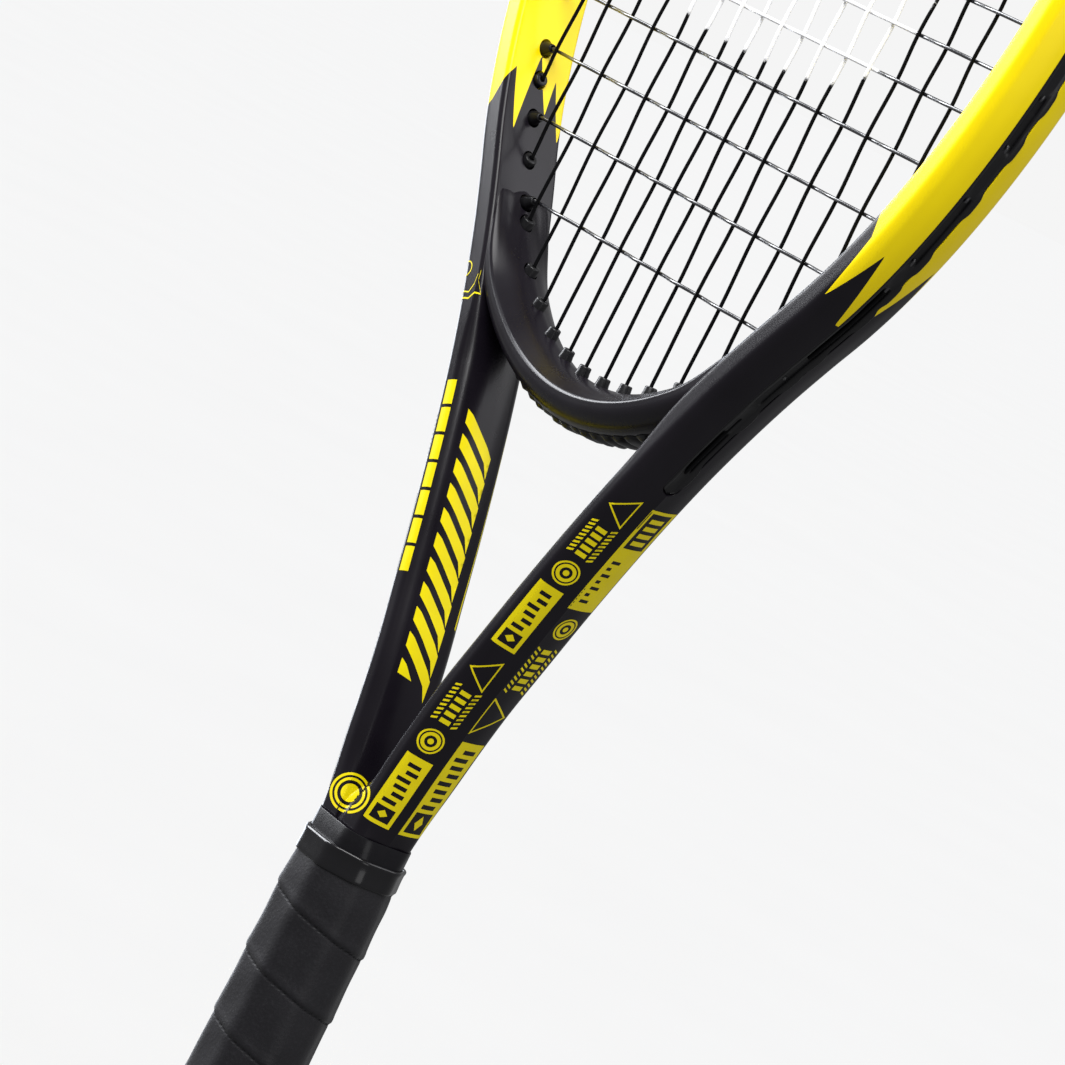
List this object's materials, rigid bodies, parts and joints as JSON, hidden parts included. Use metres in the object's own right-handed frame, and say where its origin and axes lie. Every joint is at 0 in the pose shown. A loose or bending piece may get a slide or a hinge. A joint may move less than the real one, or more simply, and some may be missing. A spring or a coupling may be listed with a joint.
{
  "type": "tennis racket",
  "caption": "Strung tennis racket: oval hoop with an open throat, woven string bed, head guard, and an octagonal spiral-wrapped handle with a rubber collar and flared butt.",
  "frame": {"origin": "centre of the flat butt end of the handle", "axes": "+Z along the racket from the butt end to the tip of the head, X across the face, -Y out of the front face of the head"},
  "size_m": [0.2718, 0.0348, 0.6858],
  "materials": {
    "frame_paint": "satin black and yellow paint over a carbon composite tube",
    "bridge_paint": "satin black paint over composite",
    "strip_plastic": "moulded nylon, satin",
    "guard_plastic": "moulded nylon, satin",
    "string_main": "black polyester string, slightly glossy",
    "string_cross": "black polyester string, slightly glossy",
    "foam": "moulded polyurethane foam, matt",
    "cap_plastic": "moulded plastic, satin",
    "badge_plastic": "moulded disc, gloss yellow",
    "staple_steel": "zinc-plated wire",
    "grip_leather": "black synthetic leather grip, fine grain",
    "tape_vinyl": "black finishing tape, satin",
    "collar_rubber": "black rubber band, glossy"
  },
  "bodies": {
    "root": {"frame_main_tube": "frame_paint", "throat_bridge": "bridge_paint", "grommet_strip_left": "strip_plastic", "grommet_strip_right": "strip_plastic", "grommet_strip_throat": "strip_plastic", "head_bumper_guard": "guard_plastic", "main_string": "string_main", "cross_string": "string_cross", "handle_pallet": "foam", "butt_cap": "cap_plastic", "butt_badge": "badge_plastic", "butt_staple_front": "staple_steel", "butt_staple_back": "staple_steel", "grip_wrap": "grip_leather", "finishing_tape": "tape_vinyl", "rubber_collar": "collar_rubber"}
  },
  "joints": []
}
